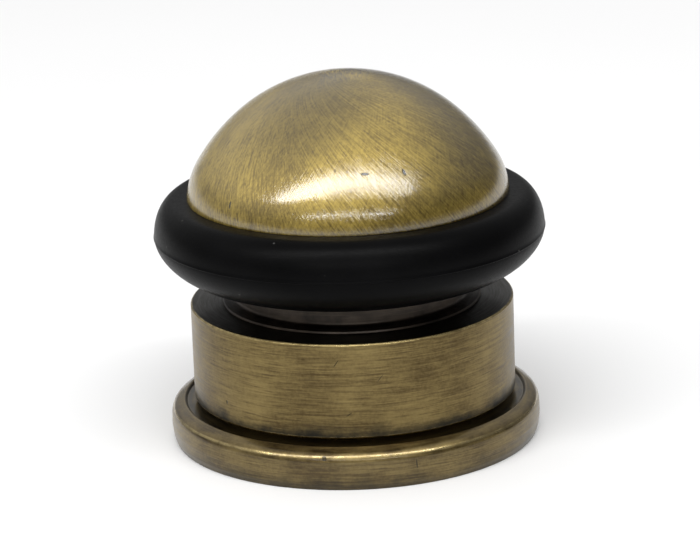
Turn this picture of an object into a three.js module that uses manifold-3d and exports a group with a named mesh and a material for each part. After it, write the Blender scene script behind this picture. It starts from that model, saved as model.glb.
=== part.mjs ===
// Floor-mounted door stop: a domed head on a rubber buffer ring, a neck, a drum and a base flange.
// A steel cup screwed to the floor holds the stop from inside. Millimetres, +Z up, origin at the
// centre of the underside. The head unscrews upwards, and the whole stop lifts off its cup.

import * as THREE from 'three';
import { mergeVertices } from 'three/addons/utils/BufferGeometryUtils.js';
import Module from 'manifold-3d';

const wasm = await Module();
wasm.setup();

// ---- Driving dimensions ----

const FIT_GAP = 0.3;               // between neighbouring pieces that rest on or in each other
const ROUND_SEGMENTS = 60;         // facets round a large turned piece
const SMALL_SEGMENTS = 36;         // facets round a fastener
const OVERLAP = 1;                 // how far a joined piece or a cutting tool runs past the face
const MERGE_DISTANCE = 1e-5;       // vertices closer than this are one

const flange = {
  radius: 20.0,
  footRadius: 19.6,                // the side tapers in slightly at the floor
  bellyRadius: 19.85,
  bellyHeight: 0.6,
  widestHeight: 1.9,
  shoulderRadius: 19.85,
  shoulderHeight: 3.6,
  rimRadius: 18.5,                 // inner end of the bevel
  height: 4.5,
  grooveRadius: 18.25,
  grooveFloor: 4.1,                // dark groove round the drum's foot
};

const drum = {
  radius: 17.4,
  bottom: 4.84,
  top: 15.15,
  spigotRadius: 15.2,              // the foot that goes down inside the flange
  spigotBottom: 0.8,
  wallInnerRadius: 13.4,
  deckUnderside: 11.6,
  edgeChamfer: 0.2,
};

const collar = {
  footRadius: 13.95,
  footThickness: 0.35,
  footBevel: 0.1,
  footBevelHeight: 0.21,
  neckRadius: 12.55,
  shoulderHeight: 19.0,            // the buffer ring rests here
  hubRadius: 11.5,
  top: 25.6,
  pocketRadius: 8.4,               // room for the nut and the head's hub
  pocketFloor: 18.0,
};

const ring = {
  radius: 20.94,
  partingHeight: 22.76,
  partingLip: 0.06,
  upperRise: 3.94,
  upperHalfWidth: 2.5,
  lowerDrop: 4.54,
  lowerHalfWidth: 5.8,
  lowerFullness: 1.75,             // below 2 makes the underside straighter than an ellipse
  boreRise: 0.4,                   // the underside slopes up this much towards the bore
  seatRadius: 17.25,               // the flat that the head's rim presses on
  seatLipRadius: 17.65,
  seatLipDrop: 0.06,
};

const head = {
  top: 39.8,
  // The dome is three arcs that run into each other: [radius, slope in degrees where it ends]
  arcs: [[18.1, 40.5], [21.3, 58.3], [8.2, 86]],
  rimInset: 0.45,                  // the flat under the rim starts this far in
  rimWidth: 2.6,
  cavityDepth: 5.0,
  cavitySlope: 1.5,                // the hollow is this much shallower at its outer wall
  bossRadius: 11.2,
  hubRadius: 8.0,
  hubBottom: 24.0,
};

const M6 = {
  radius: 3.0,
  tipChamfer: 0.7,
  headAcrossFlats: 10.0,
  headHeight: 4.0,
  nutHeight: 3.2,
  washerRadius: 6.0,
  washerThickness: 1.6,
  lockWasherRadius: 5.9,
  lockWasherThickness: 1.5,
};
const boltTip = 34.2;
const holeM6 = M6.radius + FIT_GAP;
const tappedHoleTop = boltTip + 1.0;
const drillPoint = 0.8;            // the tapped hole ends in a shallow cone

const slipWasherThickness = 0.8;

const cup = {
  radius: drum.wallInnerRadius - FIT_GAP,
  height: 10.6,
  innerRadius: 10.4,
  floorThickness: 3.0,
  screwHoleRadius: 3.0,
  countersinkRadius: 5.4,
  countersinkDepth: 2.4,
  rimChamfer: 0.5,
};

const setScrew = {
  radius: 2.0,
  height: 7.6,
  socketAcrossFlats: 2.0,
  socketDepth: 2.0,
  coneLength: 0.6,
  recess: 0.25,                    // its end lies this far below the drum's side
};
const setScrewTip = cup.radius + setScrew.recess;
const setScrewEnd = drum.radius - setScrew.recess;

// ---- Shape helpers ----

// Points [radius, height] along arcs that run into each other, from the axis outwards and down.
function tangentArcs(top, arcs, stepsPerArc) {
  const points = [];
  let radius = 0;
  let height = top;
  let slope = 0;
  for (const [arcRadius, endDegrees] of arcs) {
    const end = THREE.MathUtils.degToRad(endDegrees);
    for (let step = 1; step <= stepsPerArc; step += 1) {
      const here = slope + (end - slope) * (step / stepsPerArc);
      points.push([
        radius + arcRadius * (Math.sin(here) - Math.sin(slope)),
        height - arcRadius * (Math.cos(slope) - Math.cos(here)),
      ]);
    }
    [radius, height] = points.at(-1);
    slope = end;
  }
  return points;
}

// Quarter of a superellipse, from its outermost point round to its highest or lowest one.
function quarterCurve(centre, halfWidth, rise, fullness, steps) {
  const points = [];
  for (let step = 0; step <= steps; step += 1) {
    const angle = (Math.PI / 2) * (step / steps);
    points.push([
      centre[0] + halfWidth * Math.cos(angle) ** (2 / fullness),
      centre[1] + rise * Math.sin(angle) ** (2 / fullness),
    ]);
  }
  return points;
}

// Solid of revolution about Z. The [radius, height] points run counter-clockwise, and they either
// start and end on the axis or form a loop that is closed here.
function turned(points, segments = ROUND_SEGMENTS) {
  const profile = points.map(([radius, height]) => new THREE.Vector2(radius, height));
  const onAxis = points[0][0] === 0;
  if (!onAxis) profile.push(profile[0].clone());
  return new THREE.LatheGeometry(profile, segments).rotateX(Math.PI / 2);
}

// Six-sided bar along Z between two heights.
function hexBar(acrossFlats, bottom, top) {
  const circumradius = acrossFlats / Math.sqrt(3);
  const bar = new THREE.CylinderGeometry(circumradius, circumradius, top - bottom, 6);
  return bar.rotateX(Math.PI / 2).translate(0, 0, (bottom + top) / 2);
}

function roundBar(radius, bottom, top) {
  const bar = new THREE.CylinderGeometry(radius, radius, top - bottom, SMALL_SEGMENTS);
  return bar.rotateX(Math.PI / 2).translate(0, 0, (bottom + top) / 2);
}

function toManifold(geometry) {
  const bare = geometry.clone();
  bare.deleteAttribute('normal');
  bare.deleteAttribute('uv');
  const merged = mergeVertices(bare, MERGE_DISTANCE);
  return new wasm.Manifold(new wasm.Mesh({
    numProp: 3,
    vertProperties: new Float32Array(merged.attributes.position.array),
    triVerts: new Uint32Array(merged.index.array),
  }));
}

function fromManifold(solid) {
  const mesh = solid.getMesh();
  const geometry = new THREE.BufferGeometry();
  geometry.setAttribute('position', new THREE.BufferAttribute(mesh.vertProperties, 3));
  geometry.setIndex(new THREE.BufferAttribute(mesh.triVerts, 1));
  geometry.computeVertexNormals();
  return geometry;
}

function cut(body, ...tools) {
  return fromManifold(tools.reduce((left, tool) => left.subtract(toManifold(tool)), toManifold(body)));
}

function join(...bodies) {
  return fromManifold(bodies.map(toManifold).reduce((all, body) => all.add(body)));
}

// ---- Pieces ----

// Wide ring at the floor, with a bevelled shoulder and a sunk groove next to the drum.
function baseFlange() {
  const bore = drum.spigotRadius + FIT_GAP;
  return turned([
    [bore, 0],
    [flange.footRadius, 0],
    [flange.bellyRadius, flange.bellyHeight],
    [flange.radius, flange.widestHeight],
    [flange.shoulderRadius, flange.shoulderHeight],
    [flange.rimRadius, flange.height],
    [flange.grooveRadius, flange.grooveFloor],
    [bore, flange.grooveFloor],
  ]);
}

// Cylinder with a deck across its top and an open underside, and a tapped hole through its back.
function drumBody() {
  const c = drum.edgeChamfer;
  const body = turned([
    [drum.wallInnerRadius, drum.spigotBottom],
    [drum.spigotRadius, drum.spigotBottom],
    [drum.spigotRadius, drum.bottom],
    [drum.radius - c, drum.bottom],
    [drum.radius, drum.bottom + c],
    [drum.radius, drum.top - c],
    [drum.radius - c, drum.top],
    [holeM6, drum.top],
    [holeM6, drum.deckUnderside],
    [drum.wallInnerRadius, drum.deckUnderside],
  ]);
  const screwHole = roundBar(setScrew.radius + FIT_GAP, drum.wallInnerRadius - OVERLAP, drum.radius + OVERLAP)
    .rotateX(-Math.PI / 2)
    .translate(0, 0, setScrew.height);
  return cut(body, screwHole);
}

// Turned sleeve that carries the buffer ring, with a thin foot on the drum and a pocket for the nut.
function neckCollar() {
  const foot = drum.top + FIT_GAP;
  return turned([
    [holeM6, foot],
    [collar.footRadius, foot],
    [collar.footRadius - collar.footBevel, foot + collar.footBevelHeight],
    [collar.neckRadius, foot + collar.footThickness],
    [collar.neckRadius, collar.shoulderHeight],
    [collar.hubRadius, collar.shoulderHeight],
    [collar.hubRadius, collar.top],
    [collar.pocketRadius, collar.top],
    [collar.pocketRadius, collar.pocketFloor],
    [holeM6, collar.pocketFloor],
  ]);
}

// Moulded rubber ring: rounded above its parting line, straighter below, with a stepped bore.
function bufferRing() {
  const bore = collar.hubRadius + FIT_GAP;
  const counterbore = collar.neckRadius + FIT_GAP;
  const ledge = collar.shoulderHeight + FIT_GAP;
  const seat = headRim().underside - FIT_GAP;
  const upperCentre = [ring.radius - ring.upperHalfWidth, ring.partingHeight];
  const lowerCentre = [ring.radius - ring.lowerHalfWidth, ring.partingHeight];
  const lower = quarterCurve(lowerCentre, ring.lowerHalfWidth, -ring.lowerDrop, ring.lowerFullness, 9);
  const upper = quarterCurve(upperCentre, ring.upperHalfWidth, ring.upperRise, 2, 8);
  const underside = ring.partingHeight - ring.lowerDrop;
  const crest = ring.partingHeight + ring.upperRise;
  return turned([
    [bore, ledge],
    [counterbore, ledge],
    [counterbore, underside + ring.boreRise],
    ...lower.reverse().slice(0, -1),
    [ring.radius + ring.partingLip, ring.partingHeight],
    ...upper.slice(1),
    [ring.seatLipRadius, crest - ring.seatLipDrop],
    [ring.seatRadius, seat],
    [bore, seat],
  ]);
}

// Where the dome's rim ends.
function headRim() {
  const [radius, underside] = tangentArcs(head.top, head.arcs, 1).at(-1);
  return { radius, underside };
}

// Brass dome with a flat rim, a cored-out hollow and a tapped boss whose hub goes into the collar.
function headDome() {
  const rim = headRim();
  const washerTop = collar.top + FIT_GAP + slipWasherThickness + FIT_GAP;
  const flatRadius = rim.radius - head.rimInset;
  const hollowRadius = flatRadius - head.rimWidth;
  return turned([
    [0, tappedHoleTop + drillPoint],
    [holeM6, tappedHoleTop],
    [holeM6, head.hubBottom],
    [head.hubRadius, head.hubBottom],
    [head.hubRadius, washerTop],
    [head.bossRadius, washerTop],
    [head.bossRadius, washerTop + head.cavityDepth],
    [hollowRadius, washerTop + head.cavityDepth - head.cavitySlope],
    [hollowRadius, rim.underside],
    [flatRadius, rim.underside],
    ...tangentArcs(head.top, head.arcs, 5).reverse(),
    [0, head.top],
  ]);
}

// Thin nylon washer clipped round the head's hub.
function slipWasher() {
  const bottom = collar.top + FIT_GAP;
  return turned([
    [head.hubRadius + FIT_GAP, bottom],
    [head.bossRadius, bottom],
    [head.bossRadius, bottom + slipWasherThickness],
    [head.hubRadius + FIT_GAP, bottom + slipWasherThickness],
  ]);
}

const boltWasherTop = drum.deckUnderside - FIT_GAP;
const boltHeadTop = boltWasherTop - M6.washerThickness - FIT_GAP;
const lockWasherBottom = collar.pocketFloor + FIT_GAP;
const nutBottom = lockWasherBottom + M6.lockWasherThickness + FIT_GAP;

// Hex-head bolt, from under the deck up into the head.
function clampBolt() {
  const shank = turned([
    [0, boltHeadTop - OVERLAP],
    [M6.radius, boltHeadTop - OVERLAP],
    [M6.radius, boltTip - M6.tipChamfer],
    [M6.radius - M6.tipChamfer, boltTip],
    [0, boltTip],
  ], SMALL_SEGMENTS);
  return join(hexBar(M6.headAcrossFlats, boltHeadTop - M6.headHeight, boltHeadTop), shank);
}

function boltWasher() {
  return turned([
    [holeM6, boltWasherTop - M6.washerThickness],
    [M6.washerRadius, boltWasherTop - M6.washerThickness],
    [M6.washerRadius, boltWasherTop],
    [holeM6, boltWasherTop],
  ], SMALL_SEGMENTS);
}

// Split spring washer: a flat ring with a narrow cut through one side.
function lockWasher() {
  const halfCut = 0.12;
  const outline = new THREE.Shape();
  outline.absarc(0, 0, M6.lockWasherRadius, halfCut, 2 * Math.PI - halfCut, false);
  outline.absarc(0, 0, holeM6, 2 * Math.PI - halfCut, halfCut, true);
  const depth = M6.lockWasherThickness;
  return new THREE.ExtrudeGeometry(outline, { depth, bevelEnabled: false, curveSegments: 24 })
    .translate(0, 0, lockWasherBottom);
}

function collarNut() {
  return cut(
    hexBar(M6.headAcrossFlats, nutBottom, nutBottom + M6.nutHeight),
    roundBar(holeM6, nutBottom - OVERLAP, nutBottom + M6.nutHeight + OVERLAP),
  );
}

// Steel cup that one countersunk screw holds to the floor; the drum slides down over it.
function fixingCup() {
  const floorTop = cup.floorThickness;
  return turned([
    [cup.screwHoleRadius, 0],
    [cup.radius, 0],
    [cup.radius, cup.height - cup.rimChamfer],
    [cup.radius - cup.rimChamfer, cup.height],
    [cup.innerRadius, cup.height],
    [cup.innerRadius, floorTop],
    [cup.countersinkRadius, floorTop],
    [cup.screwHoleRadius, floorTop - cup.countersinkDepth],
  ]);
}

// Socket set screw through the back of the drum, its cone point towards the cup.
function lockScrew() {
  const body = turned([
    [0, setScrewTip],
    [setScrew.radius - setScrew.coneLength, setScrewTip],
    [setScrew.radius, setScrewTip + setScrew.coneLength],
    [setScrew.radius, setScrewEnd],
    [0, setScrewEnd],
  ], SMALL_SEGMENTS);
  const socketFloor = setScrewEnd - setScrew.socketDepth;
  const socket = hexBar(setScrew.socketAcrossFlats, socketFloor, setScrewEnd + OVERLAP);
  return cut(body, socket).rotateX(-Math.PI / 2).translate(0, 0, setScrew.height);
}

// ---- Materials ----

const antiqueBrass = { color: 0x8a7345, roughness: 0.34, metalness: 1.0 };
const blackenedBrass = { color: 0x2b2522, roughness: 0.5, metalness: 1.0 };
const blackRubber = { color: 0x121212, roughness: 0.55, metalness: 0.0 };
const zincSteel = { color: 0xb4b6b8, roughness: 0.35, metalness: 1.0 };
const blackSteel = { color: 0x222326, roughness: 0.45, metalness: 1.0 };
const whiteNylon = { color: 0xe4e0d4, roughness: 0.5, metalness: 0.0 };

// ---- Assembly ----

const group = new THREE.Group();

function addPiece(name, geometry, finish) {
  const mesh = new THREE.Mesh(geometry, new THREE.MeshStandardMaterial(finish));
  mesh.name = name;
  group.add(mesh);
}

addPiece('fixing_cup', fixingCup(), zincSteel);
addPiece('base_flange', baseFlange(), antiqueBrass);
addPiece('drum_body', drumBody(), antiqueBrass);
addPiece('neck_collar', neckCollar(), blackenedBrass);
addPiece('clamp_bolt', clampBolt(), zincSteel);
addPiece('bolt_washer', boltWasher(), zincSteel);
addPiece('lock_washer', lockWasher(), zincSteel);
addPiece('collar_nut', collarNut(), zincSteel);
addPiece('lock_screw', lockScrew(), blackSteel);
addPiece('buffer_ring', bufferRing(), blackRubber);
addPiece('slip_washer', slipWasher(), whiteNylon);
addPiece('head_dome', headDome(), antiqueBrass);

export default group;
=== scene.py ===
"""Looks of the floor door stop: brushed antique brass, a rubber buffer ring and zinc-plated fixings.

Lengths are in millimetres until a mesh is made, and in metres for the lights, the camera and every
mesh. All are in the frame's own axes: +Z up, origin at the centre of the underside.
"""

import math
from collections import namedtuple

import bmesh
import bpy
from mathutils import Matrix, Vector


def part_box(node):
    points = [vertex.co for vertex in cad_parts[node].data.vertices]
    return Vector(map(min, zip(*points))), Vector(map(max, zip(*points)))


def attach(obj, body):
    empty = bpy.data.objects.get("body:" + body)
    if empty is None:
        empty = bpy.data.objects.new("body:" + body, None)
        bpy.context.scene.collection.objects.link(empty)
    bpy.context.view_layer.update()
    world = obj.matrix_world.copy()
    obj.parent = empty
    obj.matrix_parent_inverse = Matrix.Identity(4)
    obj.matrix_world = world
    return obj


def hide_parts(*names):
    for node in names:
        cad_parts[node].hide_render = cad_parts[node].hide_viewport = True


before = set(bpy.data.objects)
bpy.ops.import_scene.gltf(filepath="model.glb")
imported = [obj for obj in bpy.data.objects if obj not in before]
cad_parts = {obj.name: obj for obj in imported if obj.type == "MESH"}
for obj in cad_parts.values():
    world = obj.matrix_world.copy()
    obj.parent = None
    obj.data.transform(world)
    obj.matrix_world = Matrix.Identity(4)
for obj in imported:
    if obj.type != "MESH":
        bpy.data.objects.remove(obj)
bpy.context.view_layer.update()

MM = 0.001
TOUCH = 0.02          # what is left between pieces that rest on each other
ON_AXIS = 1e-6        # a smaller radius than this is a point on the axis


# ---- Sizes, read from the frame ----

def low(node):
    """Lowest height of a CAD node, in millimetres."""
    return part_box(node)[0].z / MM


def high(node):
    """Highest height of a CAD node, in millimetres."""
    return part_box(node)[1].z / MM


def outer(node):
    """Outer radius of a turned CAD node, in millimetres."""
    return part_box(node)[1].x / MM


DOME_TOP = high("head_dome")
# The dome is three arcs that run into each other: radius, and its slope in degrees where it ends
DOME_ARCS = ((18.1, 40.5), (21.3, 58.3), (8.2, 86))
RING_PARTING = 22.76  # height of the rubber ring's parting line
DRUM_TOP = high("drum_body")
DRUM_RADIUS = outer("drum_body")
DRUM_EDGE = 4.84      # where the drum's side ends, above the groove
FLANGE_RADIUS = outer("base_flange")
FLANGE_TOP = high("base_flange")
FLANGE_RIM = 18.5     # inner end of the flange's bevel
FLANGE_SHOULDER = 3.72
GROOVE_FLOOR = 4.1
BOLT_TIP = high("clamp_bolt")
BOLT_RADIUS = 3.0
BOLT_HOLE = BOLT_RADIUS + 0.2
HEX_FLATS = 10.0      # across the flats of the bolt's head and the nut
COLLAR_TOP = high("neck_collar")
COLLAR_SEAT = 11.5    # radius that the rubber ring sits on
SHOULDER_RADIUS = 12.55
SHOULDER_TOP = 19.0   # where the collar's shoulder holds the rubber ring up
LOCK_HEIGHT = (low("lock_screw") + high("lock_screw")) / 2


# ---- Mesh tools ----

def place(name, mesh, body, node, material):
    """Makes the object, gives it its finish, parents it to the body it rides on and hides the CAD node
    that it replaces.
    """
    piece = bpy.data.objects.new(name, mesh)
    bpy.context.scene.collection.objects.link(piece)
    mesh.materials.clear()
    mesh.materials.append(material)
    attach(piece, body)
    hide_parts(node)
    return piece


def finished(mesh, crease_degrees=32):
    """Smooth shading, with edges kept where the surface turns sharply."""
    mesh.shade_smooth()
    mesh.set_sharp_from_angle(angle=math.radians(crease_degrees))
    return mesh


def mesh_from(name, vertices, faces):
    """Closed mesh in metres from millimetre points, with its faces pointing out."""
    mesh = bpy.data.meshes.new(name)
    mesh.from_pydata([(x * MM, y * MM, z * MM) for x, y, z in vertices], [], faces)
    work = bmesh.new()
    work.from_mesh(mesh)
    bmesh.ops.recalc_face_normals(work, faces=work.faces)
    work.to_mesh(mesh)
    work.free()
    return mesh


def lathe(name, outline, segments=240):
    """Solid of revolution about Z. The outline is a loop, or it starts and ends on the axis."""
    vertices = []
    rows = []
    for radius, height in outline:
        if radius < ON_AXIS:
            rows.append([len(vertices)] * segments)
            vertices.append((0, 0, height))
            continue
        rows.append(list(range(len(vertices), len(vertices) + segments)))
        for step in range(segments):
            angle = 2 * math.pi * step / segments
            vertices.append((radius * math.cos(angle), radius * math.sin(angle), height))
    on_axis = outline[0][0] < ON_AXIS
    pairs = list(zip(rows, rows[1:]))
    if not on_axis:
        pairs.append((rows[-1], rows[0]))
    faces = []
    for below, above in pairs:
        for step in range(segments):
            after = (step + 1) % segments
            corners = (below[step], below[after], above[after], above[step])
            faces.append(tuple(dict.fromkeys(corners)))
    return mesh_from(name, vertices, faces)


def rounded(corners, steps=5):
    """Outline points from (radius, height, fillet) corners, each fillet drawn as a short curve."""
    points = []
    for index, (radius, height, fillet) in enumerate(corners):
        here = Vector((radius, height))
        before = Vector(corners[index - 1][:2]) - here
        after = Vector(corners[(index + 1) % len(corners)][:2]) - here
        if fillet == 0:
            points.append((here.x, here.y))
            continue
        turn = math.pi - before.angle(after)
        reach = min(fillet * math.tan(turn / 2), 0.49 * before.length, 0.49 * after.length)
        start = here + before.normalized() * reach
        end = here + after.normalized() * reach
        for step in range(steps + 1):
            t = step / steps
            point = start * (1 - t) ** 2 + here * (2 * t * (1 - t)) + end * t ** 2
            points.append((point.x, point.y))
    return points


def tangent_arcs(top, arcs, steps):
    """Points along arcs that run into each other, from the axis outwards and down."""
    points = []
    radius, height, slope = 0.0, top, 0.0
    for arc_radius, end_degrees in arcs:
        end = math.radians(end_degrees)
        for step in range(1, steps + 1):
            here = slope + (end - slope) * step / steps
            points.append((
                radius + arc_radius * (math.sin(here) - math.sin(slope)),
                height - arc_radius * (math.cos(slope) - math.cos(here)),
            ))
        radius, height = points[-1]
        slope = end
    return points


def quarter_curve(centre, half_width, rise, fullness, steps):
    """Quarter of a superellipse, from its outermost point round to its highest or lowest one."""
    points = []
    for step in range(steps + 1):
        angle = math.pi / 2 * step / steps
        points.append((
            centre[0] + half_width * max(math.cos(angle), 0.0) ** (2 / fullness),
            centre[1] + rise * math.sin(angle) ** (2 / fullness),
        ))
    return points


def combined(mesh, tool, operation):
    """The mesh after a boolean with another mesh, as a new mesh."""
    body = bpy.data.objects.new("boolean_body", mesh)
    other = bpy.data.objects.new("boolean_tool", tool)
    for item in (body, other):
        bpy.context.scene.collection.objects.link(item)
    modifier = body.modifiers.new("boolean", "BOOLEAN")
    modifier.object = other
    modifier.operation = operation
    modifier.solver = "EXACT"
    depsgraph = bpy.context.evaluated_depsgraph_get()
    result = bpy.data.meshes.new_from_object(body.evaluated_get(depsgraph))
    for item in (body, other):
        bpy.data.objects.remove(item)
    return result


def hex_bar(name, across_flats, bottom, top):
    """Six-sided bar along Z."""
    reach = across_flats / math.sqrt(3)
    corners = []
    sides = []
    for k in range(6):
        after = (k + 1) % 6
        angle = math.pi / 3 * k + math.pi / 6
        corners.append((reach * math.cos(angle), reach * math.sin(angle)))
        sides.append((k, after, 6 + after, 6 + k))
    vertices = [(x, y, bottom) for x, y in corners] + [(x, y, top) for x, y in corners]
    return mesh_from(name, vertices, [tuple(range(6)), tuple(range(6, 12)), *sides])


def chamfered_hex(name, across_flats, bottom, top, both_ends):
    """Hex head or nut whose corners are turned off at the top, and at the bottom for a nut."""
    reach = across_flats / math.sqrt(3)
    drop = 0.45
    face = reach * 0.9
    clear = reach + 0.3
    cone = [
        (0, bottom),
        (face if both_ends else reach + 1, bottom),
        (clear, bottom + drop),
        (clear, top - drop),
        (face, top),
        (0, top),
    ]
    return combined(hex_bar(name, across_flats, bottom, top), lathe(name, cone, 96), "INTERSECT")


def threaded_bar(name, radius, pitch, bottom, top, end_chamfer, segments=72):
    """Round bar with a true helical thread over its whole length."""
    depth = 0.55 * pitch
    crest, flank = 0.12, 0.7
    per_turn = 12
    rows = int((top - bottom) / pitch * per_turn)
    vertices = [(0, 0, bottom)]
    for row in range(rows + 1):
        height = bottom + (top - bottom) * row / rows
        limit = radius - max(0.0, end_chamfer - (top - height))
        for step in range(segments):
            angle = 2 * math.pi * step / segments
            place_in_turn = (height / pitch - step / segments) % 1
            slope = min(max((abs(2 * place_in_turn - 1) - crest) / flank, 0.0), 1.0)
            here = min(radius - depth * slope, limit)
            vertices.append((here * math.cos(angle), here * math.sin(angle), height))
    vertices.append((0, 0, top))
    faces = []
    for step in range(segments):
        after = (step + 1) % segments
        faces.append((0, 1 + after, 1 + step))
        last = 1 + rows * segments
        faces.append((len(vertices) - 1, last + step, last + after))
    for row in range(rows):
        for step in range(segments):
            after = (step + 1) % segments
            below = 1 + row * segments
            above = below + segments
            faces.append((below + step, below + after, above + after, above + step))
    return mesh_from(name, vertices, faces)


# ---- Material tools ----

# Coordinates on a turned piece, in millimetres, with the angle about Z in radians
Around = namedtuple("Around", "x y z radius angle")


class Nodes:
    """The node tree of a material or a world, with short calls for the nodes used here."""

    def __init__(self, owner):
        self.owner = owner
        owner.use_nodes = True
        self.tree = owner.node_tree
        self.tree.nodes.clear()
        self.coordinates = None

    def add(self, kind, **settings):
        node = self.tree.nodes.new("ShaderNode" + kind)
        for key, value in settings.items():
            setattr(node, key, value)
        return node

    def put(self, value, socket):
        """Links a socket, or sets a number, colour or vector."""
        if isinstance(value, bpy.types.NodeSocket):
            self.tree.links.new(value, socket)
        else:
            socket.default_value = value

    def math(self, operation, *values, clamp=False):
        node = self.add("Math", operation=operation, use_clamp=clamp)
        for value, socket in zip(values, node.inputs):
            self.put(value, socket)
        return node.outputs[0]

    def vector(self, x, y, z):
        node = self.add("CombineXYZ")
        for value, socket in zip((x, y, z), node.inputs):
            self.put(value, socket)
        return node.outputs[0]

    def noise(self, vector, scale=1.0, detail=2.0, roughness=0.5, distortion=0.0):
        node = self.add("TexNoise")
        self.put(vector, node.inputs["Vector"])
        self.put(scale, node.inputs["Scale"])
        self.put(detail, node.inputs["Detail"])
        self.put(roughness, node.inputs["Roughness"])
        self.put(distortion, node.inputs["Distortion"])
        return node.outputs["Fac"]

    def span(self, value, from_low, from_high, to_low=0.0, to_high=1.0, smooth=False):
        """Maps a value from one range to another, and stays inside the second."""
        node = self.add("MapRange", interpolation_type="SMOOTHSTEP" if smooth else "LINEAR")
        for number, socket in zip((value, from_low, from_high, to_low, to_high), node.inputs):
            self.put(number, socket)
        return node.outputs[0]

    def mix(self, factor, first, second):
        """A colour between two colours. The node keeps sockets for each kind: colours are 6 and 7."""
        node = self.add("Mix", data_type="RGBA")
        self.put(factor, node.inputs["Factor"])
        self.put(first, node.inputs[6])
        self.put(second, node.inputs[7])
        return node.outputs[2]

    def squares(self, first, second):
        """Sum of the squares of two values."""
        return self.math("ADD", self.math("MULTIPLY", first, first), self.math("MULTIPLY", second, second))

    def around(self):
        """Coordinates of the shaded point."""
        if self.coordinates is None:
            texture = self.add("TexCoord")
            split = self.add("SeparateXYZ")
            self.put(texture.outputs["Object"], split.inputs[0])
            x, y, z = (self.math("MULTIPLY", out, 1 / MM) for out in split.outputs)
            radius = self.math("SQRT", self.squares(x, y))
            self.coordinates = Around(x, y, z, radius, self.math("ARCTAN2", y, x))
        return self.coordinates

    def point(self):
        """The shaded point as one vector, in millimetres."""
        at = self.around()
        return self.vector(at.x, at.y, at.z)

    def blend(self, factor, first, second):
        """A number between two numbers, which are the node's sockets 2 and 3."""
        node = self.add("Mix", data_type="FLOAT")
        for value, index in ((factor, 0), (first, 2), (second, 3)):
            self.put(value, node.inputs[index])
        return node.outputs[0]

    def weigh(self, *pairs):
        """Sum of values, each times its share."""
        total = self.math("MULTIPLY", *pairs[0])
        for value, share in pairs[1:]:
            total = self.math("ADD", total, self.math("MULTIPLY", value, share))
        return total

    def bumped(self, height, depth):
        """Surface normal over a height map whose depth is in millimetres."""
        node = self.add("Bump")
        node.inputs["Strength"].default_value = 1.0
        node.inputs["Distance"].default_value = depth * MM
        self.put(height, node.inputs["Height"])
        return node.outputs[0]

    def finish(self, color, roughness, height=None, bump=0.01, metallic=0.0, links=(), **constants):
        """Gives the material a principled shader, with a bump whose depth is in millimetres."""
        shader = self.add("BsdfPrincipled")
        self.put(color, shader.inputs["Base Color"])
        self.put(roughness, shader.inputs["Roughness"])
        shader.inputs["Metallic"].default_value = metallic
        for key, value in constants.items():
            shader.inputs[key.replace("_", " ")].default_value = value
        if height is not None:
            self.put(self.bumped(height, bump), shader.inputs["Normal"])
        for key, value in dict(links).items():
            self.put(value, shader.inputs[key])
        output = self.add("OutputMaterial")
        self.put(shader.outputs[0], output.inputs["Surface"])
        return self.owner


def material_nodes(name):
    """Empty node tree of a new material."""
    return Nodes(bpy.data.materials.new(name))


def streaks(nodes, angle, along, turns, per_mm, seed, detail=2.0):
    """Fine noise round the axis: turns sets how much it changes with the angle, per_mm with along."""
    x = nodes.math("MULTIPLY", nodes.math("COSINE", angle), turns)
    y = nodes.math("MULTIPLY", nodes.math("SINE", angle), turns)
    z = nodes.math("ADD", nodes.math("MULTIPLY", along, per_mm), seed)
    return nodes.noise(nodes.vector(x, y, z), 1.0, detail, 0.6)


# ---- Materials ----

# Colours of the brass, from bare metal to patina. The patina colour also paints shade, and the bright edge
# colour paints wear and a highlight
GOLD = (0.39, 0.285, 0.060, 1)
OCHRE = (0.155, 0.106, 0.020, 1)
UMBER = (0.085, 0.060, 0.028, 1)
# Real patina in the dents, and painted shade in corners and on the drum's deck
PATINA_AND_SHADE = (0.012, 0.012, 0.010, 1)
TURNED_LIGHT = (0.235, 0.174, 0.068, 1)
TURNED_DARK = (0.072, 0.048, 0.018, 1)
# Edge colour: partly wear, partly a painted highlight
EDGE_WEAR_HIGHLIGHT = (0.42, 0.33, 0.15, 1)
# Small dents: angle in degrees, height, half width, half length, and lean in degrees
DOME_DENTS = (
    (-66.8, 32.3, 0.16, 0.30, 12),
    (-83.0, 32.5, 0.10, 0.42, 88),
    (-137.0, 28.9, 0.10, 0.40, 5),
    (35.0, 30.5, 0.12, 0.35, 60),
    (118.0, 33.0, 0.10, 0.50, -30),
)
DRUM_DENTS = (
    (-141.3, 7.2, 0.14, 0.20, 0),
    (-96.3, 13.1, 0.04, 0.45, -35),
    (-81.4, 11.3, 0.04, 0.50, -40),
    (-92.5, 7.5, 0.04, 0.40, -55),
    (60.0, 9.6, 0.05, 0.50, 30),
)
FLANGE_DENTS = (
    (-100.1, 3.5, 0.22, 0.24, 20),
    (-72.2, 2.5, 0.07, 0.50, 5),
    (80.0, 2.8, 0.10, 0.30, 50),
)


def dents(nodes, marks):
    """Mask of small dents on a turned surface."""
    at = nodes.around()
    mask = 0.0
    for angle_degrees, height, half_width, half_length, lean_degrees in marks:
        turned = nodes.math("SUBTRACT", at.angle, math.radians(angle_degrees))
        round_mm = nodes.math("MULTIPLY", turned, at.radius)
        up_mm = nodes.math("SUBTRACT", at.z, height)
        cosine = math.cos(math.radians(lean_degrees))
        sine = math.sin(math.radians(lean_degrees))
        across = nodes.weigh((round_mm, cosine / half_width), (up_mm, sine / half_width))
        along = nodes.weigh((round_mm, -sine / half_length), (up_mm, cosine / half_length))
        mask = nodes.math("MAXIMUM", mask, nodes.span(nodes.squares(across, along), 1.4, 0.5))
    return mask


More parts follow.
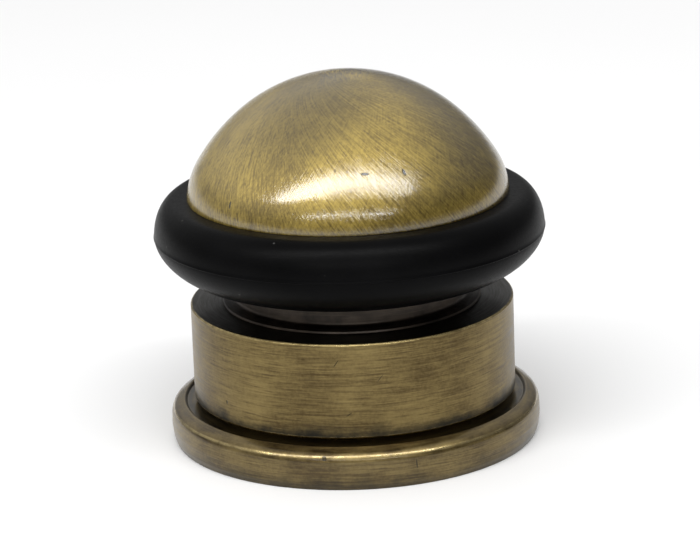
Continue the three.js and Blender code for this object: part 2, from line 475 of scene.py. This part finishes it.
def dome_brass():
    """Hand-brushed: short strokes that lean more from one side to the other, under clear lacquer."""
    nodes = material_nodes("dome_brass")
    at = nodes.around()
    centre = DOME_TOP - DOME_ARCS[0][0]
    polar = nodes.math("ARCTAN2", at.radius, nodes.math("SUBTRACT", at.z, centre))
    half_tangent = nodes.math("TANGENT", nodes.math("MULTIPLY", polar, 0.5))
    twist = nodes.math("LOGARITHM", half_tangent, math.e)

    def spiral(lean_degrees, turns, per_mm, seed):
        lean = nodes.math("MULTIPLY", twist, math.tan(math.radians(lean_degrees)))
        return streaks(nodes, nodes.math("SUBTRACT", at.angle, lean), at.z, turns, per_mm, seed)

    steep_lean, full_lean, cross_lean = 16, 36, -22
    side = nodes.span(at.x, -11.0, -1.0, smooth=True)
    steep = spiral(steep_lean, turns=90, per_mm=0.7, seed=3.0)
    full = spiral(full_lean, turns=80, per_mm=0.8, seed=11.0)
    crossing = spiral(cross_lean, turns=105, per_mm=0.8, seed=27.0)
    grain = nodes.blend(0.3, nodes.blend(side, steep, full), crossing)
    # The spirals crowd together at the pole, so strokes straight across it take over there
    crown = nodes.noise(nodes.vector(
        nodes.math("MULTIPLY", at.x, 5.0),
        nodes.math("MULTIPLY", at.y, 0.8),
        at.z,
    ))
    grain = nodes.blend(nodes.span(at.radius, 1.5, 4.0, smooth=True), crown, grain)
    mottle = nodes.noise(nodes.point(), 0.11, 4.0, 0.6)
    fleck = nodes.noise(nodes.point(), 3.2, 3.0, 0.65)
    dent = dents(nodes, DOME_DENTS)
    tone = nodes.weigh((mottle, 0.28), (grain, 0.52), (fleck, 0.20))
    color = nodes.mix(nodes.span(tone, 0.42, 0.58), OCHRE, GOLD)
    deep = nodes.math("MULTIPLY", nodes.span(grain, 0.42, 0.30), nodes.span(fleck, 0.60, 0.40))
    color = nodes.mix(nodes.math("MULTIPLY", deep, 0.8), color, UMBER)
    color = nodes.mix(dent, color, PATINA_AND_SHADE)
    roughness = nodes.span(grain, 0.35, 0.65, 0.47, 0.57)
    metal_height = nodes.weigh((grain, 0.7), (fleck, 0.3), (dent, -0.8))
    lacquer_height = nodes.weigh((nodes.span(grain, 0.45, 0.75), 0.38), (fleck, 0.08), (dent, -0.8))
    links = {
        "Tangent": across_strokes(nodes, polar, nodes.blend(side, steep_lean, full_lean)),
        "Coat Normal": nodes.bumped(lacquer_height, 0.03),
    }
    return nodes.finish(color, roughness, metal_height, bump=0.04, metallic=1.0, links=links,
                        Anisotropic=0.65, Coat_Weight=1.0, Coat_Roughness=0.11, Coat_IOR=1.8)


def across_strokes(nodes, polar, lean_degrees):
    """Direction on the dome at right angles to its strokes, along which the metal's shine spreads."""
    lean = nodes.math("RADIANS", lean_degrees)
    sideways = nodes.math("COSINE", lean)
    upwards = nodes.math("SINE", lean)
    inwards = nodes.math("MULTIPLY", nodes.math("COSINE", polar), upwards)
    angle = nodes.around().angle
    cosine = nodes.math("COSINE", angle)
    sine = nodes.math("SINE", angle)
    minus_x = nodes.math("ADD", nodes.math("MULTIPLY", sine, sideways),
                         nodes.math("MULTIPLY", cosine, inwards))
    return nodes.vector(
        nodes.math("MULTIPLY", -1.0, minus_x),
        nodes.math("SUBTRACT", nodes.math("MULTIPLY", cosine, sideways),
                   nodes.math("MULTIPLY", sine, inwards)),
        nodes.math("MULTIPLY", nodes.math("SINE", polar), upwards),
    )


def turned_brass(name, edges, marks, dark_zones, dark_above, lacquer):
    """Brushed round and round: fine rings, darker bands, edges painted bright and corners painted dark.

    edges are (height, radius) pairs in millimetres where the brass is painted bright, partly wear and
    partly a highlight. dark_zones are (height, radius, reach, share) rows: towards each of those corners
    the colour darkens, painted shade and patina, and painted shade covers all that lies above dark_above.
    lacquer is the weight of the clear coat.
    """
    nodes = material_nodes(name)
    at = nodes.around()
    place_mm = nodes.point()
    across = nodes.math("ADD", at.z, at.radius)

    def apart(height, radius):
        away_z = nodes.math("SUBTRACT", at.z, height)
        away_r = nodes.math("SUBTRACT", at.radius, radius)
        return nodes.math("SQRT", nodes.squares(away_z, away_r))

    fine = streaks(nodes, at.angle, across, turns=5.5, per_mm=6.0, seed=5.0)
    bands = streaks(nodes, at.angle, across, turns=1.8, per_mm=2.0, seed=31.0, detail=3.0)
    grain = nodes.weigh((fine, 0.65), (bands, 0.35))
    mottle = nodes.noise(place_mm, 0.12, 4.0, 0.6)
    fleck = nodes.noise(place_mm, 3.0, 3.0, 0.65)
    tone = nodes.weigh((mottle, 0.35), (grain, 0.50), (fleck, 0.15))
    color = nodes.mix(nodes.span(tone, 0.41, 0.61), TURNED_DARK, TURNED_LIGHT)
    color = nodes.mix(nodes.span(fine, 0.40, 0.28, 0.0, 0.5), color, UMBER)
    patchy = nodes.noise(place_mm, 0.35, 4.0, 0.6)
    # Painted shade and patina: the colour darkens towards each corner in dark_zones
    for height, corner_radius, reach, share in dark_zones:
        ragged = nodes.span(patchy, 0.3, 0.7, 0.0, 0.5 * reach)
        blurred = nodes.math("ADD", apart(height, corner_radius), ragged)
        zone = nodes.span(blurred, reach, 0.2 * reach, 0.0, share, smooth=True)
        color = nodes.mix(zone, color, PATINA_AND_SHADE)
    # Painted shade: all above dark_above is darkened almost to black; on the drum this is the deck,
    # standing for the shade and black reflection under the rubber ring
    color = nodes.mix(nodes.span(at.z, dark_above, dark_above + 0.05, 0.0, 0.92), color, PATINA_AND_SHADE)
    # Edges painted bright: partly wear, partly a painted highlight along each edge
    edge_patches = nodes.span(nodes.noise(place_mm, 0.9, 3.0, 0.6), 0.35, 0.60, 0.25, 1)
    wear_and_highlight = 0.0
    for height, edge_radius in edges:
        near = nodes.span(apart(height, edge_radius), 0.20, 0.05)
        wear_and_highlight = nodes.math("MAXIMUM", wear_and_highlight, nodes.math("MULTIPLY", near, edge_patches))
    color = nodes.mix(wear_and_highlight, color, EDGE_WEAR_HIGHLIGHT)
    dent = dents(nodes, marks)
    color = nodes.mix(nodes.math("MULTIPLY", dent, 0.7), color, PATINA_AND_SHADE)
    roughness = nodes.blend(wear_and_highlight, nodes.span(grain, 0.35, 0.65, 0.32, 0.46), 0.24)
    height = nodes.weigh((grain, 0.8), (fleck, 0.2), (dent, -0.8))
    return nodes.finish(color, roughness, height, bump=0.035, metallic=1.0, Coat_Weight=lacquer,
                        Coat_Roughness=0.12, Coat_IOR=1.5)


def drum_brass():
    """The drum's side: edges painted bright for wear and a highlight, deck painted dark as shade, foot
    darkened by painted shade and patina.
    """
    # Both edges painted bright: partly wear, partly a painted highlight
    edges = [(DRUM_TOP - 0.08, DRUM_RADIUS - 0.08), (DRUM_EDGE + 0.08, DRUM_RADIUS - 0.06)]
    # Painted shade and patina on the drum's foot, above the groove
    zones = [(DRUM_EDGE, DRUM_RADIUS, 2.3, 0.95)]
    # Painted shade and reflection: the deck under the rubber ring is darkened
    deck = DRUM_TOP - 0.07
    return turned_brass("drum_brass", edges, DRUM_DENTS, zones, dark_above=deck, lacquer=0.12)


def flange_brass():
    """The flange: its shoulder painted bright for wear and a highlight, with painted shade and patina in
    the groove and along the floor.
    """
    # Shoulder painted bright: partly wear, partly a painted highlight
    edges = [(FLANGE_SHOULDER - 0.10, FLANGE_RADIUS - 0.28)]
    # Painted shade and patina: in the groove by the drum and along the floor
    zones = [
        (FLANGE_TOP - 0.3, FLANGE_RIM - 0.6, 1.0, 0.85),
        (0, FLANGE_RADIUS - 0.4, 3.0, 0.65),
    ]
    nowhere = FLANGE_TOP + 1
    return turned_brass("flange_brass", edges, FLANGE_DENTS, zones, dark_above=nowhere, lacquer=0.45)


def blackened_brass():
    """The neck's dark finish, which the brush does not reach: turning marks and a little dust."""
    soot = (0.020, 0.016, 0.013, 1)
    brown = (0.075, 0.058, 0.044, 1)
    dusty = (0.13, 0.10, 0.07, 1)
    nodes = material_nodes("blackened_brass")
    at = nodes.around()
    across = nodes.math("ADD", at.z, at.radius)
    marks = streaks(nodes, at.angle, across, turns=2.5, per_mm=5.0, seed=0.0, detail=3.0)
    cloud = nodes.noise(nodes.point(), 0.35, 4.0, 0.6)
    color = nodes.mix(nodes.span(cloud, 0.3, 0.7), soot, brown)
    color = nodes.mix(nodes.span(marks, 0.56, 0.70, 0.0, 0.6), color, dusty)
    roughness = nodes.span(marks, 0.3, 0.7, 0.38, 0.55)
    return nodes.finish(color, roughness, marks, bump=0.02, metallic=1.0,
                        Coat_Weight=0.2, Coat_Roughness=0.25)


def rubber():
    """Moulded black rubber with a satin skin, faint bloom and specks of dust."""
    black = (0.0012, 0.0012, 0.0013, 1)
    bloomed = (0.0024, 0.0024, 0.0026, 1)
    dust_grey = (0.10, 0.10, 0.095, 1)
    nodes = material_nodes("black_rubber")
    place_mm = nodes.point()
    skin = nodes.noise(place_mm, 3.5, 4.0, 0.6)
    bloom = nodes.noise(place_mm, 0.12, 3.0, 0.5)
    specks = nodes.add("TexVoronoi")
    nodes.put(place_mm, specks.inputs["Vector"])
    specks.inputs["Scale"].default_value = 0.55
    thinned = nodes.noise(place_mm, 0.3, 2.0, 0.5)
    dust = nodes.math("MULTIPLY", nodes.span(specks.outputs["Distance"], 0.075, 0.045),
                      nodes.span(thinned, 0.52, 0.60))
    color = nodes.mix(nodes.span(bloom, 0.35, 0.7), black, bloomed)
    color = nodes.mix(nodes.math("MULTIPLY", dust, 0.5), color, dust_grey)
    roughness = nodes.span(skin, 0.3, 0.7, 0.32, 0.42)
    return nodes.finish(color, roughness, skin, bump=0.012, Specular_IOR_Level=0.045)


def zinc(name, base, rough_low, rough_high):
    """Plated or blackened steel with a fine crystalline mottle and faint turning marks."""
    nodes = material_nodes(name)
    at = nodes.around()
    grain = nodes.noise(nodes.point(), 4.0, 4.0, 0.65)
    cloud = nodes.noise(nodes.point(), 0.4, 3.0, 0.6)
    rings = nodes.noise(nodes.vector(0.0, 0.0, nodes.math("ADD", at.z, at.radius)), 6.0, 2.0, 0.6)
    darker = tuple(0.6 * value for value in base[:3]) + (1,)
    color = nodes.mix(nodes.span(cloud, 0.3, 0.7), darker, base)
    height = nodes.weigh((grain, 0.5), (rings, 0.5))
    roughness = nodes.span(grain, 0.3, 0.7, rough_low, rough_high)
    return nodes.finish(color, roughness, height, bump=0.015, metallic=1.0)


def nylon():
    """Natural nylon, slightly translucent and a little yellowed."""
    yellowed = (0.66, 0.62, 0.50, 1)
    natural = (0.78, 0.76, 0.69, 1)
    nodes = material_nodes("white_nylon")
    cloud = nodes.noise(nodes.point(), 0.5, 3.0, 0.6)
    grain = nodes.noise(nodes.point(), 5.0, 3.0, 0.6)
    color = nodes.mix(nodes.span(cloud, 0.3, 0.7), yellowed, natural)
    roughness = nodes.span(grain, 0.3, 0.7, 0.40, 0.55)
    return nodes.finish(color, roughness, grain, bump=0.01,
                        Subsurface_Weight=0.15, Subsurface_Scale=0.001)


# ---- Pieces ----

def dome(material):
    """Domed head: three running arcs, a flat rim, a cored-out hollow and a hub for the bolt."""
    skin = tangent_arcs(DOME_TOP, DOME_ARCS, steps=26)
    rim_radius, rim_height = skin[-1]
    hub = 8.0
    boss = outer("slip_washer")
    boss_height = high("slip_washer") + TOUCH
    rim_width = 3.05
    hollow = rim_radius - rim_width
    hollow_top = boss_height + 5.0
    hollow_side = boss_height + 3.6
    bore = BOLT_RADIUS + 0.05
    depth = BOLT_TIP + 1.0
    under = rounded([
        (bore, low("head_dome"), 0.3),
        (hub, low("head_dome"), 0.5),
        (hub, boss_height, 0.2),
        (boss, boss_height, 0.2),
        (boss, hollow_top, 1.0),
        (hollow, hollow_side, 1.2),
        (hollow, rim_height, 0.3),
        (rim_radius - 0.02, rim_height, 0.05),
        (rim_radius, rim_height + 0.05, 0.0),
    ])
    outline = [(0, depth + 0.8), (bore, depth), *under, *reversed(skin), (0, DOME_TOP)]
    mesh = finished(lathe("dome_brushed", outline, 288), crease_degrees=40)
    return place("dome_brushed", mesh, "head", "head_dome", material)


def ring(material):
    """Rubber ring: full above the parting line, straighter below, with a fine flash at the line."""
    lip = 0.06
    edge = outer("buffer_ring") - lip
    rim_radius, rim_height = tangent_arcs(DOME_TOP, DOME_ARCS, steps=1)[-1]
    seat = rim_height - TOUCH
    rise = high("buffer_ring") - RING_PARTING
    bottom = RING_PARTING - low("buffer_ring")
    upper_width, upper_fullness = 2.5, 2.0
    lower_width, lower_fullness = 5.8, 1.75
    upper = quarter_curve((edge - upper_width, RING_PARTING), upper_width, rise, upper_fullness, 28)
    lower = quarter_curve((edge - lower_width, RING_PARTING), lower_width, -bottom, lower_fullness, 34)
    bore = COLLAR_SEAT + TOUCH
    counterbore = SHOULDER_RADIUS + TOUCH
    ledge = SHOULDER_TOP + TOUCH
    outline = [
        (bore, ledge + 0.1),
        (counterbore, ledge),
        (counterbore, RING_PARTING - bottom + 0.4),
        *list(reversed(lower))[:-2],
        (edge - 0.02, RING_PARTING - 0.10),
        (edge + 0.8 * lip, RING_PARTING - 0.05),
        (edge + lip, RING_PARTING),
        (edge + 0.4 * lip, RING_PARTING + 0.06),
        *upper[2:],
        (rim_radius + 0.35, seat + rise * 0.01),
        (rim_radius + 0.06, seat),
        (bore + 0.2, seat),
        (bore, seat - 0.2),
    ]
    mesh = finished(lathe("buffer_rubber", outline, 288), crease_degrees=50)
    return place("buffer_rubber", mesh, "buffer", "buffer_ring", material)


def neck(material):
    """Turned collar with a thin foot, the ring's shoulder and a pocket for the nut."""
    foot = DRUM_TOP + TOUCH
    foot_radius = outer("neck_collar")
    bore = BOLT_HOLE
    pocket = 8.4
    pocket_floor = 18.0
    outline = rounded([
        (bore, foot, 0.1),
        (foot_radius, foot, 0.05),
        (foot_radius - 0.1, foot + 0.28, 0.12),
        (SHOULDER_RADIUS + 0.65, foot + 0.36, 0.3),
        (SHOULDER_RADIUS, foot + 0.55, 0.4),
        (SHOULDER_RADIUS, SHOULDER_TOP, 0.1),
        (COLLAR_SEAT, SHOULDER_TOP, 0.1),
        (COLLAR_SEAT, COLLAR_TOP, 0.3),
        (pocket, COLLAR_TOP, 0.3),
        (pocket, pocket_floor, 0.3),
        (bore, pocket_floor, 0.1),
    ])
    mesh = finished(lathe("neck_turned", outline))
    return place("neck_turned", mesh, "stop_body", "neck_collar", material)


def drum(material):
    """Drum with softly broken edges, a deck across its top and the lock screw's hole at its back."""
    spigot = 15.2
    inner = 13.4
    deck = 11.6
    bore = BOLT_HOLE
    hole_radius = 2.1
    mouth_radius = 2.6
    outline = rounded([
        (inner, low("drum_body"), 0.15),
        (spigot, low("drum_body"), 0.15),
        (spigot, DRUM_EDGE, 0.1),
        (DRUM_RADIUS - 0.12, DRUM_EDGE, 0.06),
        (DRUM_RADIUS, DRUM_EDGE + 0.16, 0.12),
        (DRUM_RADIUS, DRUM_TOP - 0.16, 0.12),
        (DRUM_RADIUS - 0.16, DRUM_TOP, 0.12),
        (bore, DRUM_TOP, 0.2),
        (bore, deck, 0.2),
        (inner, deck, 0.8),
    ])
    body = lathe("drum_brushed", outline, 288)
    hole = lathe("hole", [
        (0, inner - 2),
        (hole_radius, inner - 2),
        (hole_radius, DRUM_RADIUS - 0.35),
        (mouth_radius, DRUM_RADIUS + 0.2),
        (mouth_radius, DRUM_RADIUS + 1),
        (0, DRUM_RADIUS + 1),
    ], 64)
    hole.transform(Matrix.Translation((0, 0, LOCK_HEIGHT * MM)) @ Matrix.Rotation(-math.pi / 2, 4, "X"))
    mesh = finished(combined(body, hole, "DIFFERENCE"))
    return place("drum_brushed", mesh, "stop_body", "drum_body", material)


def flange(material):
    """Base ring: a side that draws in at the floor, a bevelled shoulder and a sunk groove."""
    bore = 15.3
    foot = 19.6
    outline = rounded([
        (bore, 0, 0.1),
        (foot, 0, 0.12),
        (FLANGE_RADIUS - 0.15, 0.7, 0.5),
        (FLANGE_RADIUS, 1.9, 2.0),
        (FLANGE_RADIUS - 0.08, FLANGE_SHOULDER, 1.4),
        (FLANGE_RIM, FLANGE_TOP, 0.30),
        (FLANGE_RIM - 0.25, GROOVE_FLOOR, 0.08),
        (bore, GROOVE_FLOOR, 0.1),
    ], steps=7)
    mesh = finished(lathe("flange_brushed", outline, 288))
    return place("flange_brushed", mesh, "stop_body", "base_flange", material)


def bolt(material):
    """Hex-head bolt with a helical thread."""
    head_height = 4.0
    pitch = 1.0
    head_low = low("clamp_bolt")
    head_high = head_low + head_height
    head = chamfered_hex("bolt_head", HEX_FLATS, head_low, head_high, both_ends=False)
    flip = Matrix.Translation((0, 0, (head_low + head_high) * MM)) @ Matrix.Rotation(math.pi, 4, "X")
    head.transform(flip)
    shank = threaded_bar("shank", BOLT_RADIUS, pitch, head_high - 0.5, BOLT_TIP, 0.7)
    mesh = finished(combined(head, shank, "UNION"))
    return place("bolt_threaded", mesh, "stop_body", "clamp_bolt", material)


def nut(material):
    """Thin hex nut in the collar's pocket."""
    bottom = low("collar_nut")
    top = high("collar_nut")
    body = chamfered_hex("nut", HEX_FLATS, bottom, top, both_ends=True)
    bore = BOLT_RADIUS + 0.05
    hole = lathe("hole", [(0, bottom - 1), (bore, bottom - 1), (bore, top + 1), (0, top + 1)], 72)
    mesh = finished(combined(body, hole, "DIFFERENCE"))
    return place("nut_hex", mesh, "stop_body", "collar_nut", material)


def flat_washer(name, node, inner, body, material):
    """Stamped washer: one edge rounded, the other nearly sharp."""
    outline = rounded([
        (inner, low(node), 0.1),
        (outer(node), low(node), 0.08),
        (outer(node), high(node), 0.3),
        (inner, high(node), 0.25),
    ])
    return place(name, finished(lathe(name, outline, 120)), body, node, material)


def spring_washer(material):
    """Split washer: a square-section coil that rises a little from one end of its cut to the other."""
    node = "lock_washer"
    inner = BOLT_RADIUS + 0.1
    half_gap = math.radians(9)
    rise = 0.25
    steps = 96
    thickness = high(node) - low(node) - rise
    section = ((inner, 0), (outer(node), 0), (outer(node), thickness), (inner, thickness))
    vertices = []
    for step in range(steps + 1):
        angle = half_gap + (2 * math.pi - 2 * half_gap) * step / steps
        bottom = low(node) + rise * step / steps
        for radius, height in section:
            vertices.append((radius * math.cos(angle), radius * math.sin(angle), bottom + height))
    faces = [(0, 1, 2, 3), tuple(4 * steps + k for k in range(4))]
    for step in range(steps):
        here = 4 * step
        for side in range(4):
            after = (side + 1) % 4
            faces.append((here + side, here + after, here + 4 + after, here + 4 + side))
    mesh = finished(mesh_from("washer_spring", vertices, faces))
    return place("washer_spring", mesh, "stop_body", node, material)


def cup(material):
    """Steel cup on the floor, with a countersunk hole for its one screw."""
    radius = outer("fixing_cup")
    top = high("fixing_cup")
    inner = 10.4
    floor = 3.0
    hole = 3.0
    countersink = 5.4
    outline = rounded([
        (hole, 0, 0.1),
        (radius, 0, 0.2),
        (radius, top - 0.5, 0.2),
        (radius - 0.5, top, 0.2),
        (inner, top, 0.3),
        (inner, floor, 0.8),
        (countersink, floor, 0.1),
        (hole, 0.6, 0.1),
    ])
    mesh = finished(lathe("cup_zinc", outline, 192))
    return place("cup_zinc", mesh, "floor_fixing", "fixing_cup", material)


def lock_screw(material):
    """Threaded set screw with a hexagon socket, pointing from the back towards the cup."""
    radius = 1.98
    pitch = 0.7
    socket_flats = 2.0
    socket_depth = 2.0
    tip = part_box("lock_screw")[0].y / MM
    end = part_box("lock_screw")[1].y / MM
    body = threaded_bar("lock", radius, pitch, tip, end, 0.35, 60)
    socket = hex_bar("socket", socket_flats, end - socket_depth, end + 1)
    mesh = finished(combined(body, socket, "DIFFERENCE"))
    mesh.transform(Matrix.Translation((0, 0, LOCK_HEIGHT * MM)) @ Matrix.Rotation(-math.pi / 2, 4, "X"))
    return place("set_screw_socket", mesh, "set_screw", "lock_screw", material)


# ---- Studio ----

# The surround's brightness is a product of ramps. Each row is a direction, then where the ramp starts
# and ends along it, and the brightness at both
SURROUND = (
    ((-0.35, 0.25, 0.72), (-0.35, 0.85, 0.10, 0.80)),
    ((0.0, 0.0, 1.0), (0.0, 0.50, 0.45, 1.0)),
)


def stage_floor():
    """Plain pale floor."""
    bpy.ops.mesh.primitive_plane_add(size=6.0)
    floor = bpy.context.object
    floor.name = "floor"
    nodes = material_nodes("pale_floor")
    cloud = nodes.noise(nodes.point(), 0.01, 2.0, 0.5)
    color = nodes.mix(cloud, (0.88, 0.88, 0.88, 1), (0.92, 0.92, 0.92, 1))
    floor.data.materials.append(nodes.finish(color, 0.7))


def strip_light(name, centre, size, power, spin_degrees=0):
    """Flat white light that faces the object, spun in its own plane."""
    data = bpy.data.lights.new(name, "AREA")
    data.shape = "RECTANGLE"
    data.size, data.size_y = size
    data.energy = power
    light = bpy.data.objects.new(name, data)
    bpy.context.scene.collection.objects.link(light)
    light.location = centre
    target = Vector((0, 0, 0.02))
    facing = (target - Vector(centre)).to_track_quat("-Z", "Y").to_matrix()
    spin = Matrix.Rotation(math.radians(spin_degrees), 3, "Z")
    light.rotation_euler = (facing @ spin).to_euler()


def surround():
    """White world light: brightest overhead, dimmer near the horizon and towards the front right."""
    nodes = Nodes(bpy.data.worlds.new("surround"))
    texture = nodes.add("TexCoord")
    strength = 1.0
    for direction, limits in SURROUND:
        toward = nodes.add("VectorMath", operation="DOT_PRODUCT")
        nodes.put(texture.outputs["Generated"], toward.inputs[0])
        nodes.put(direction, toward.inputs[1])
        ramp = nodes.span(toward.outputs["Value"], *limits, smooth=True)
        strength = nodes.math("MULTIPLY", ramp, strength)
    background = nodes.add("Background")
    nodes.put((1, 1, 1, 1), background.inputs["Color"])
    nodes.put(strength, background.inputs["Strength"])
    output = nodes.add("OutputWorld")
    nodes.put(background.outputs[0], output.inputs["Surface"])
    bpy.context.scene.world = nodes.owner


def studio():
    """A long strip overhead, a thin one lower in front of it, and the surround."""
    strip_light("overhead_strip", (-0.07, -0.575, 0.90), (1.95, 0.20), power=12.5, spin_degrees=9)
    strip_light("front_strip", (0.0, -0.92, 0.41), (1.15, 0.035), power=2.0)
    surround()
    bpy.context.scene.view_settings.view_transform = "Standard"


def camera():
    """Long lens, a little above the stop, rolled slightly to one side."""
    distance = 0.3766
    elevation = math.radians(16.79)
    roll = math.radians(2.08)
    aim = Vector((-0.00014, 0, 0.01686))
    data = bpy.data.cameras.new("camera")
    data.lens = 179.85
    data.sensor_width = 36.0
    data.sensor_fit = "HORIZONTAL"
    data.clip_start = 0.02
    item = bpy.data.objects.new("camera", data)
    bpy.context.scene.collection.objects.link(item)
    right = Vector((1, 0, 0))
    up = Vector((0, math.sin(elevation), math.cos(elevation)))
    back = Vector((0, -math.cos(elevation), math.sin(elevation)))
    tilted_right = right * math.cos(roll) - up * math.sin(roll)
    tilted_up = right * math.sin(roll) + up * math.cos(roll)
    turn = Matrix((tilted_right, tilted_up, back)).transposed().to_4x4()
    item.matrix_world = Matrix.Translation(aim + back * distance) @ turn
    bpy.context.scene.camera = item


# ---- Build ----

ZINC_WHITE = (0.62, 0.63, 0.64, 1)
BLACK_OXIDE = (0.045, 0.045, 0.050, 1)
NYLON_BORE = 8.3

camera()
steel = zinc("zinc_steel", ZINC_WHITE, rough_low=0.24, rough_high=0.40)
dome(dome_brass())
ring(rubber())
neck(blackened_brass())
drum(drum_brass())
flange(flange_brass())
bolt(steel)
nut(steel)
flat_washer("washer_flat", "bolt_washer", BOLT_HOLE, "stop_body", steel)
flat_washer("washer_nylon", "slip_washer", NYLON_BORE, "head_carrier", nylon())
spring_washer(steel)
cup(steel)
lock_screw(zinc("black_steel", BLACK_OXIDE, rough_low=0.30, rough_high=0.45))
stage_floor()
studio()
